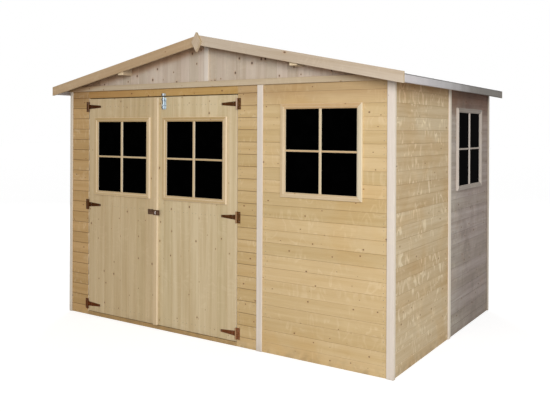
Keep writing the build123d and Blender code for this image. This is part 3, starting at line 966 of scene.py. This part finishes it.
def felt_finish(name, pale, dark, stains=()):
    finish, tree, shader = new_finish(name)
    pale, dark = tint(pale), tint(dark)
    where = own_place(tree)
    grit, speck, patch = [noise(tree, where, *size) for size in ((900.0, 2.0), (240.0, 1.0), (3.5, 5.0))]
    drawn_out = {0: where, 1: (1.5, 17.0, 1.5)}
    down_slope = add_node(tree, "ShaderNodeVectorMath", drawn_out, operation="MULTIPLY").outputs[0]
    rain = noise(tree, down_slope, 1.0, 4.0)
    colour = blend(tree, fade(tree, grit, 0.3, 0.7), dark, pale)
    colour = blend(tree, fade(tree, patch, 0.3, 0.75, 0.0, 0.35), colour, dark)
    colour = blend(tree, fade(tree, rain, 0.45, 0.75, 0.0, 0.35), colour, dark)
    colour = blend(tree, fade(tree, speck, 0.58, 0.74, 0.0, 0.3), colour, pale)
    feed(tree, shader, {
        "Base Color": painted_shade_and_splash(tree, colour, stains), "Roughness": fade(tree, grit, 0.2, 0.8, 0.95, 0.75),
        "Normal": bumps(tree, grit, 0.5, 0.001)})
    return finish

# Painted shade: the eave felt darkens in two steps towards the back.
eave_painted_shade = [(1, -1.0, -0.3, (0.80, 0.82, 0.81)), (1, -0.4, 0.45, (0.42, 0.40, 0.36))]
finishes["felt"] = felt_finish("grey mineral felt", "A09E9B", "5C5A58")
finishes["eave_strip"] = felt_finish("pale grey eave felt", "E2DDDD", "CBC5C6", eave_painted_shade)
finish_solids("felt", "roof_felt")
print("felt finish on the roof skin")

# %% [markdown]
# The lengths of felt are thin closed sheets on top of the roof skin. They get slight waves, because felt
# never lies quite flat, and a grid of points along the slope and along the roof gives enough vertices for
# them.

# %% Lay the felt lengths
felt_low, felt_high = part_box("roof_felt")
felt_fall = fall_from_ridge(solids_of("roof_felt")[1], felt_high)
felt_thick = 0.003
felt_waves = ((0.0007, 9, 4), (0.0005, 23, -7))
lap_at, ridge_reach = felt_high.x * 0.56, 0.16


def felt_point(x, share, lift):
    """The point at x, at a share of the length of the roof, lifted off the skin."""
    y = felt_low.y + (felt_high.y - felt_low.y) * share
    return Vector((x, y, felt_high.z - felt_fall * abs(x) + lift))


def felt_length(name, stop, lift):
    """A sheet from the ridge down to stop, with its upper side at lift."""
    columns, rows = 10, 48
    points = []
    for level in (lift - felt_thick, lift):
        for i in range(columns + 1):
            for j in range(rows + 1):
                point = felt_point(stop * i / columns, j / rows, level)
                if level == lift:
                    wave = sum(size * math.sin(point.y * a + point.x * b) for size, a, b in felt_waves)
                    point.z += max(0.0, wave)
                points.append(point)
    count, step = len(points) // 2, rows + 1
    faces = []
    for i in range(columns):
        for j in range(rows):
            a = i * step + j
            square = [a, a + 1, a + step + 1, a + step]
            faces += [[p + count for p in square], square[::-1]]
    rim = [i * step for i in range(columns + 1)] + [columns * step + j for j in range(1, step)]
    rim += [i * step + rows for i in range(columns - 1, -1, -1)] + list(range(rows - 1, 0, -1))
    faces += [[a, b, b + count, a + count] for a, b in zip(rim, rim[1:] + rim[:1])]
    piece = stand(name, points, faces, finishes["felt"])
    piece.data.validate()
    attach(piece, "shed")
    return piece

for side, sign in (("left", -1), ("right", 1)):
    felt_length(f"felt_upper_{side}", sign * lap_at, felt_thick)
    felt_length(f"felt_ridge_{side}", sign * ridge_reach, felt_thick * 2)
print("felt lengths laid, ridge at", round(felt_high.z, 4))

# %% [markdown]
# Along the eaves the felt turns down over a wooden strip and hides it. It is pale at the front end and much
# greyer at the back, so its finish takes two steps of painted shade along Y.

# %% Wrap the eave strips
strips("eave_fascias", 0.003, name="eave_wraps")
print("eave strips wrapped")

# %% [markdown]
# ## Windows
# A window here is a mitred frame of moulded strips fixed on the boards, a pane behind it, and two thin bars
# that cross in the middle. The frame's section is a list of steps from its outer to its inner edge, carried
# round the four sides. A bevelled ring would do, but it would have no mitres and no grain that turns the
# corner.

# %% Carry a moulding round a window
stile_width, rail_width = 0.035, 0.032
section = [
    (0, 0), (0, 0.0115), (0.002, 0.014), (0.021, 0.014), (0.023, 0.0122), (0.029, 0.0105), (0.035, 0.0070),
    (0.035, 0),
]
upright_bar, level_bar, bar_easing = 0.0165, 0.0125, 0.003
upright_proud, level_proud = 0.009, 0.008


def inset(span, margin):
    return span[0] + margin, span[1] - margin


def frame_ring(stack, span, rise, face, out, tones, section):
    rings = []
    for margin, proud in section:
        box = rectangle(inset(span, margin), inset(rise, margin * rail_width / stile_width))
        rings.append([wall_point(s, z, proud, face, out) for s, z in box])
    count = len(rings)
    for k in range(4):
        shape = bmesh.new()
        near = [shape.verts.new(ring[k]) for ring in rings]
        far = [shape.verts.new(ring[(k + 1) % 4]) for ring in rings]
        for i in range(count):
            shape.faces.new([near[i], far[i], far[(i + 1) % count], near[(i + 1) % count]])
        shape.faces.new(near)
        shape.faces.new(far)
        bmesh.ops.recalc_face_normals(shape, faces=shape.faces)
        stack.add(shape, upward if k % 2 else sideways(out), out, tones[k])


def glazing_bars(stack, span, rise, face, out, tones):
    """Two bars that cross in an opening; the level one is cut where they meet."""
    middle_s, middle_z = sum(span) / 2, sum(rise) / 2
    left, right = inset((middle_s, middle_s), -upright_bar / 2)
    level_rise = inset((middle_z, middle_z), -level_bar / 2)
    bars = [((left, right), rise, upward, upright_proud, tones[0])]
    for part in ((span[0], left), (right, span[1])):
        bars.append((part, level_rise, sideways(out), level_proud, tones[1]))
    for part, height, along, proud, tone in bars:
        outline = [wall_point(s, z, proud, face, out) for s, z in rectangle(part, height)]
        lay(stack, outline, along, out, proud, bar_easing, tone, steps=2)

print("moulding steps", len(section))

# %% [markdown]
# The same frame goes on both walls and on both doors. Its strips differ in tone, because the light that
# falls on a moulding makes one side of the window paler than another. The two walls share one node, so both
# of their mouldings stand for it, and the bars are extra pieces that ride with their wall or door.

# %% Fit frames and bars on the walls and doors
def window_place(low, high):
    """The facing of a window, the plane at its inner side, its span and its rise."""
    on_front = high.y - low.y < high.x - low.x
    out = toward_front if on_front else rightward
    axis = run_axis(out)
    return out, high.y if on_front else low.x, (low[axis], high[axis]), (low.z, high.z)


def fit_window(points, label, node, finish, tones, body):
    """Tones are given in the order bottom, right, top, left, upright bar, level bar."""
    out, face, span, rise = window_place(*corners(points))
    moulding, bars = Stack(), Stack()
    frame_ring(moulding, span, rise, face, out, tones, section)
    glazing_bars(bars, inset(span, stile_width), inset(rise, rail_width), face, out, tones[4:])
    moulding.place(label + "_moulding", finishes[finish], node)
    bars.place(label + "_bars", finishes[finish], None, body, "window_wood")


wall_tones = (0.40, 0.75, 0.0, 0.38, 0.5, 0.12)
side_tones = (0.10, 0.52, 0.0, 1.0, 0.68, 0.30)
door_tones = (0.5, 0.95, 0.05, 0.4, 1.0, 0.6)
front_frame, side_frame = sorted(solids_of("window_frames"), key=lambda points: corners(points)[0].y)
fit_window(front_frame, "front_window", "window_frames", "window_wood", wall_tones, "shed")
fit_window(side_frame, "side_window", "window_frames", "side_window_wood", side_tones, "shed")
for side in ("left", "right"):
    node = side + "_door_window_frame"
    fit_window(solids_of(node)[0], side + "_door_window", node, "door_strips", door_tones, side + "_door")
print("windows fitted: two on walls, one on each door")

# %% [markdown]
# From inside, small beads hold each pane in its opening, and bars cross it there too. They are the same two
# shapes, turned to face the room, and they stay within the thickness of the boards, so a door can still
# swing past its frame.

# %% Beads and bars behind the panes
bead_section = [(0, 0), (0, 0.009), (0.003, 0.009), (0.008, 0.005), (0.010, 0.002), (0.010, 0)]
bead_reach = 0.008
bead_tones = (0.5,) * 4


def fit_beads(pane, label, body):
    out, face, span, rise = window_place(*pane)
    stack = Stack()
    frame_ring(stack, span, rise, face, -out, bead_tones, bead_section)
    glazing_bars(stack, inset(span, bead_reach), inset(rise, bead_reach), face, -out, bead_tones)
    stack.place(label + "_beads", finishes["door_strips"], None, body, "window_wood")


fit_beads(front_pane, "front_window", "shed")
fit_beads(side_pane, "side_window", "shed")
for side in ("left", "right"):
    fit_beads(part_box(side + "_door_glass"), side + "_door_window", side + "_door")
print("beads behind four panes")

# %% [markdown]
# The panes look black, because the inside is dark and they give almost no reflection. A dark smooth finish
# with faint dust keeps that from every side.

# %% The pane finish
def pane_finish():
    finish, tree, shader = new_finish("dark window pane")
    where = own_place(tree)
    dust = noise(tree, where, 14.0, 6.0)
    colour = blend(tree, fade(tree, dust, 0.45, 0.9, 0.0, 0.5), tint("010101"), tint("060606"))
    feed(tree, shader, {
        "Base Color": colour, "Roughness": fade(tree, dust, 0.3, 0.8, 0.04, 0.16),
        "Specular IOR Level": 0.0005})
    return finish

finishes["glass"] = pane_finish()
finish_solids("glass", "window_glass", "left_door_glass", "right_door_glass")
print("panes finished")

# %% [markdown]
# ## Hinges, latch and bolt
# The hinges are pressed steel with a dark brown coat. Where the metal stands furthest out, on the hinge
# knuckles and on the staple of the latch, the finish turns bright: a painted highlight that reads how far
# forward a point lies. The bolt is bright zinc. Their shapes are already right, so they keep their solids and
# only get a finish.

# %% Metal finishes
no_highlight = -5.0
highlight_softness, highlight_waver, rough_range = 0.0035, 0.003, 0.18


def coated_metal(name, coat, patchy, highlight_tint, highlight_from, metallic, rough, stains=(), highlight_shading=(), gloss=0.2):
    finish, tree, shader = new_finish(name)
    where = own_place(tree)
    blot = noise(tree, where, 60.0, 5.0)
    colour = painted_shade_and_splash(tree, blend(tree, fade(tree, blot, 0.45, 0.72), tint(coat), tint(patchy)), stains)
    metal = painted_shade_and_splash(tree, tint(highlight_tint), highlight_shading)
    # Painted highlight: the finish turns to its bright colour where a point lies further forward than a set
    # depth.
    ragged = times(tree, blot, highlight_waver, split(tree, where)[1])
    highlight_share = fade(tree, ragged, highlight_from + highlight_softness, highlight_from)
    feed(tree, shader, {
        "Base Color": blend(tree, highlight_share, colour, metal), "Specular IOR Level": gloss, "Metallic": metallic,
        "Roughness": fade(tree, blot, 0.3, 0.7, rough, rough + rough_range),
        "Normal": bumps(tree, noise(tree, where, 700.0, 1.0), 0.2, 0.0003)})
    return finish

# Painted shadow: the bolt turns almost black down its left side.
bolt_painted_shadow = [(0, -0.3965, -0.4005, (0.05, 0.05, 0.06))]
# Painted shade darkens the coat on the hinges of the left door; the coat is also lighter by the right door
# edge and towards the bottom.
hinge_coat_painted_shading = [
    (0, -0.9, -1.1, (0.72, 0.58, 0.42)), (0, 0.262, 0.268, (1.4, 1.6, 1.7)), (2, 0.45, 0.12, (1.8, 1.6, 2.0))]
# The painted highlight is darker on the hinges of the left door, as painted shade, and darker towards the
# bottom.
hinge_highlight_shading = [(0, -0.9, -1.1, (0.30, 0.22, 0.17)), (2, 1.4, 0.9, (0.70, 0.58, 0.43))]
finishes["hinge_metal"] = coated_metal(
    "brown coated steel", "4C2E16", "643E24", "BCA08A", -0.9265, 0.0, 0.6, hinge_coat_painted_shading, hinge_highlight_shading, 0.04)
finishes["latch_metal"] = coated_metal(
    "brown steel with painted highlight", "4E3828", "6E5240", "D6CAC4", -0.9440, 0.0, 0.5, gloss=0.1)
finishes["bolt_metal"] = coated_metal(
    "bright zinc", "C5D6E0", "56636E", "D8E4EC", -0.9300, 0.3, 0.36, bolt_painted_shadow, bolt_painted_shadow)
finish_solids("hinge_metal", "hinge_plates", "left_hinge_straps", "right_hinge_straps")
finish_solids("latch_metal", "left_latch_plate", "right_latch_plate")
finish_solids("bolt_metal", "bolt_plate", "bolt_rod", "bolt_keeper")
print("metal finishes on the hinges, the latch and the bolt")

# %% [markdown]
# ## Ribs on the hinges and the latch
# Thin pressed steel gets a rib along its middle, which stops it from bending. On the hinges it narrows
# towards the tip. Each rib is a long low prism with a rounded back, so it catches a line of light.

# %% Press the ribs
rib_lift, rib_easing = 0.0013, 0.0012
strap_rib, latch_rib = (0.009, 0.004), (0.006, 0.006)
root_margin, tip_margin, tip_reach = 0.024, 0.014, 0.02
latch_margins = {"left": (0.006, 0.010), "right": (0.042, 0.006)}
tip_sign = {"left": 1, "right": -1}


def rib(stack, start, stop, height, widths, face):
    """A low ridge from start to stop along X, with its width at both ends."""
    ends = ((start, widths[0] / 2), (start, -widths[0] / 2), (stop, -widths[1] / 2), (stop, widths[1] / 2))
    outline = [Vector((x, face - rib_lift, height + rise)) for x, rise in ends]
    lay(stack, outline, rightward, toward_front, rib_lift, rib_easing, steps=2)


def face_near(points, axis, edge, reach=0.0005):
    """How far forward a solid lies near one of its edges."""
    return min(p.y for p in points if abs(p[axis] - edge) < reach)


def strap_places(side):
    """For each hinge strap of a door: its root and its tip along X, its middle height and its face."""
    places = []
    for points in solids_of(side + "_hinge_straps"):
        low, high = corners(points)
        root, tip = (low.x, high.x) if side == "left" else (high.x, low.x)
        places.append((root, tip, (low.z + high.z) / 2, face_near(points, 0, tip, tip_reach)))
    return places


for side, sign in tip_sign.items():
    ribs = Stack()
    for root, tip, middle, strap_face in strap_places(side):
        rib(ribs, root + sign * root_margin, tip - sign * tip_margin, middle, strap_rib, strap_face)
    ribs.place(side + "_hinge_ribs", finishes["hinge_metal"], None, side + "_door", "hinge_metal")
for side, margins in latch_margins.items():
    ribs = Stack()
    points = max(solids_of(side + "_latch_plate"), key=len)
    low, high = corners(points)
    plate_face = face_near(points, 2, high.z)
    rib(ribs, low.x + margins[0], high.x - margins[1], (low.z + high.z) / 2, latch_rib, plate_face)
    ribs.place(side + "_latch_plate_rib", finishes["latch_metal"], None, side + "_door", "hinge_metal")
print("ribs pressed")

# %% [markdown]
# ## Screws and nails
# Screws hold the hinges and the bolt, and nails hold the boards at each end. Both are turned shapes: a short
# outline carried round an axis. The screw heads have a hollow for the driver, the nail heads are low domes.

# %% Turn heads for screws and nails
head_sides = 8


def turned_heads(name, spots, outline, finish, body):
    """One head per spot, a centre and a facing; the outline lists radius and height from the rim inwards."""
    points, faces = [], []
    turns = [2 * math.pi * k / head_sides for k in range(head_sides)]
    for centre, out in spots:
        side = out.orthogonal().normalized()
        up = out.cross(side)
        start = len(points)
        for radius, height in outline:
            for turn in turns:
                spoke = side * math.cos(turn) + up * math.sin(turn)
                points.append((centre + spoke * radius + out * height)[:])
        rings = [[start + i * head_sides + k for k in range(head_sides)] for i in range(len(outline))]
        for near, far in zip(rings, rings[1:]):
            for k in range(head_sides):
                after = (k + 1) % head_sides
                faces.append([near[k], near[after], far[after], far[k]])
        faces += [rings[-1], rings[0][::-1]]
    piece = stand(name, points, faces, finish)
    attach(piece, body)
    return piece

screw_outline = [(0.0032, 0), (0.0032, 0.0004), (0.0024, 0.0012), (0.0013, 0.0014), (0.0009, 0.0007)]
nail_outline = [(0.0024, 0), (0.0022, 0.0004), (0.0010, 0.0008)]
print("head outlines", len(screw_outline), len(nail_outline))

# %% [markdown]
# A strap has one screw at its tip and a pair near its root, a hinge plate has one at each end, and the bolt
# plate has one in each corner. Their places follow the solids, so they still fit if a hinge moves.

# %% Drive the screws
tip_screw, root_screw, pair_lift = 0.007, 0.040, 0.009
plate_screw, plate_end, plate_reach = 0.007, 0.012, 0.002
bolt_screw, bolt_foot, bolt_head = 0.004, 0.026, 0.030
finishes["screw_steel"] = coated_metal("screw steel", "6B6258", "463E36", "8E867C", no_highlight, 0.4, 0.45)
spots = {"shed": [], "left_door": [], "right_door": []}


def drive(body, x, face, height):
    spots[body].append((Vector((x, face, height)), toward_front))


for side, sign in tip_sign.items():
    for root, tip, middle, strap_face in strap_places(side):
        drive(side + "_door", tip - sign * tip_screw, strap_face, middle)
        for lift in (-pair_lift, pair_lift):
            drive(side + "_door", root + sign * root_screw, strap_face, middle + lift)
for points in solids_of("hinge_plates"):
    low, high = corners(points)
    outer, inward = (low.x, plate_screw) if low.x < 0 else (high.x, -plate_screw)
    plate_face = face_near(points, 0, outer, plate_reach)
    for height in (low.z + plate_end, high.z - plate_end):
        drive("shed", outer + inward, plate_face, height)
low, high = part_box("bolt_plate")
plate_face = face_near(max(solids_of("bolt_plate"), key=len), 0, low.x)
for x in (low.x + bolt_screw, high.x - bolt_screw):
    for height in (low.z + bolt_foot, high.z - bolt_head):
        drive("right_door", x, plate_face, height)
for body, places in spots.items():
    turned_heads(body + "_screws", places, screw_outline, finishes["screw_steel"], body)
print("screws driven", {body: len(places) for body, places in spots.items()})

# %% [markdown]
# The nails go where the boards are not covered by a corner post or a batten, so each wall is first measured
# between them. A narrow board gets one nail at each end, a full one gets two.

# %% Nail the boards
covers = [corners(points) for points in solids_of("corner_boards") + solids_of("panel_battens")]
cover_depth, cover_play, cover_search = 0.002, 0.001, 0.02
nail_margin, nail_inset, narrow_board = 0.022, 0.02, 0.06


def open_span(low, high, out):
    """The part of a wall between the posts and battens in front of it."""
    axis = run_axis(out)
    depth_axis = 1 - axis
    level = outer_face(low, high, out) + out[depth_axis] * cover_depth
    start, stop = low[axis], high[axis]
    for near, far in covers:
        if near[depth_axis] - cover_play < level < far[depth_axis] + cover_play:
            if near[axis] < start + cover_search < far[axis]:
                start = far[axis]
            if near[axis] < stop - cover_search < far[axis]:
                stop = near[axis]
    return start, stop


nails = []
for node, out in facing.items():
    if node == "front_header":
        continue
    low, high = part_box(node)
    for z0, z1 in course_spans(low.z, high.z):
        heights = [(z0 + z1) / 2] if z1 - z0 < narrow_board else inset((z0, z1), nail_inset)
        for place in inset(open_span(low, high, out), nail_margin):
            for height in heights:
                nails.append((wall_point(place, height, -face_play, outer_face(low, high, out), out), out))
finishes["nail_steel"] = coated_metal("nail steel", "8C8274", "6A6054", "A79D8E", no_highlight, 0.2, 0.5)
turned_heads("wall_nails", nails, nail_outline, finishes["nail_steel"], "shed")
print("nails in the walls", len(nails))

# %% [markdown]
# The boards of a door are nailed to the level ledges behind them, two nails to a board. None goes through
# the window, and the upright ledges beside it need none.

# %% Nail the door leaves to their ledges
nail_shares, frame_margin, tallest_ledge = (0.3, 0.7), 0.01, 0.3
for side in ("left", "right"):
    low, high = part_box(side + "_door_leaf")
    frame_low, frame_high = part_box(side + "_door_window_frame")
    nails = []
    for points in solids_of(side + "_door_ledges"):
        ledge_low, ledge_high = corners(points)
        if ledge_high.z - ledge_low.z > tallest_ledge:
            continue
        height = (ledge_low.z + ledge_high.z) / 2
        beside_window = frame_low.z < height < frame_high.z
        for x0, x1 in equal_spans(low.x, high.x, door_board):
            for x in [x0 + (x1 - x0) * share for share in nail_shares]:
                hidden = beside_window and frame_low.x - frame_margin < x < frame_high.x + frame_margin
                if ledge_low.x < x < ledge_high.x and not hidden:
                    nails.append((Vector((x, low.y, height)), toward_front))
    body = side + "_door"
    turned_heads(body + "_nails", nails, nail_outline, finishes["nail_steel"], body)
    print(side, "door nails", len(nails))

# %% [markdown]
# The felt is held by flat galvanised nails with wide heads, in rows along the eaves and along the lower edge
# of each length. Their facing is the slope of the roof.

# %% Nail the felt
clout_outline = [(0.0050, 0), (0.0048, 0.0006), (0.0030, 0.0010)]
clout_margin, clouts_per_row, clout_lift = 0.02, 14, 0.0006
clout_rows = [
    (felt_high.x - clout_margin, 0.0), (lap_at - clout_margin, felt_thick + clout_lift),
    (ridge_reach - clout_margin, felt_thick * 2 + clout_lift)]
clouts = []
for sign in (-1, 1):
    slope_out = Vector((sign * felt_fall, 0, 1)).normalized()
    for x, lift in clout_rows:
        for i in range(clouts_per_row):
            clouts.append((felt_point(sign * x, (i + 0.5) / clouts_per_row, lift), slope_out))
finishes["clout_steel"] = coated_metal(
    "galvanised nail steel", "9A9C9C", "7C7E7E", "B4B6B6", no_highlight, 0.3, 0.5)
turned_heads("felt_nails", clouts, clout_outline, finishes["clout_steel"], "shed")
print("felt nails", len(clouts))

# %% [markdown]
# ## Stage and light
# The shed stands on a pale floor under soft light: an even sky, a broad lamp from the front right, a low sun
# that is soft enough to blur the shadows of the roof, and a broad lamp behind it for the sides that the
# photograph doesn't show. The floor and the sky look white to the camera without adding light.

# %% Floor, sky and lamps
floor_reach, floor_level, floor_glow = 60, -0.0005, 0.68


def seen_directly(tree):
    """One for what the camera, a reflection or a pane shows, and zero for light on other surfaces."""
    path = add_node(tree, "ShaderNodeLightPath").outputs
    through = reckon(tree, "MAXIMUM", path["Is Glossy Ray"], path["Is Transmission Ray"])
    return reckon(tree, "MAXIMUM", path["Is Camera Ray"], through)


def pale_floor():
    finish, tree, shader = new_finish("pale floor")
    feed(tree, shader, {
        "Base Color": (0.55, 0.55, 0.55, 1), "Roughness": 0.9, "Emission Color": (1, 1, 1, 1),
        "Emission Strength": times(tree, seen_directly(tree), floor_glow)})
    reach = (-floor_reach, floor_reach)
    points = [(x, y, floor_level) for x, y in rectangle(reach, reach)]
    floor = stand("floor_stage", points, [(0, 1, 2, 3)], finish)


def white_sky(strength):
    world = bpy.data.worlds.new("soft sky")
    bpy.context.scene.world = world
    world.use_nodes = True
    tree = world.node_tree
    feed(tree, tree.nodes["Background"], {
        "Color": (1, 1, 1, 1), "Strength": times(tree, seen_directly(tree), 1.0 - strength, strength)})


def lamp(name, kind, place, target, energy, **settings):
    light = bpy.data.lights.new(name, kind)
    light.energy = energy
    for key, value in settings.items():
        setattr(light, key, value)
    thing = bpy.data.objects.new(name, light)
    thing.location = place
    thing.rotation_euler = (Vector(target) - Vector(place)).to_track_quat("-Z", "Y").to_euler()
    bpy.context.scene.collection.objects.link(thing)

pale_floor()
white_sky(strength=0.40)
lamp("soft_sun", "SUN", place=(4, -8, 2.9), target=(0, 0, 0.8), energy=0.83, angle=math.radians(35))
lamp("broad_lamp", "AREA", place=(4.2, -5.2, 2.6), target=(0.9, -0.6, 0.9), energy=170,
     shape="DISK", size=2.6)
lamp("back_lamp", "AREA", place=(-4.5, 6.0, 3.4), target=(0, 0.5, 1.0), energy=190,
     shape="DISK", size=3.0)
bpy.context.scene.view_settings.view_transform = "Standard"
print("stage and lamps set")
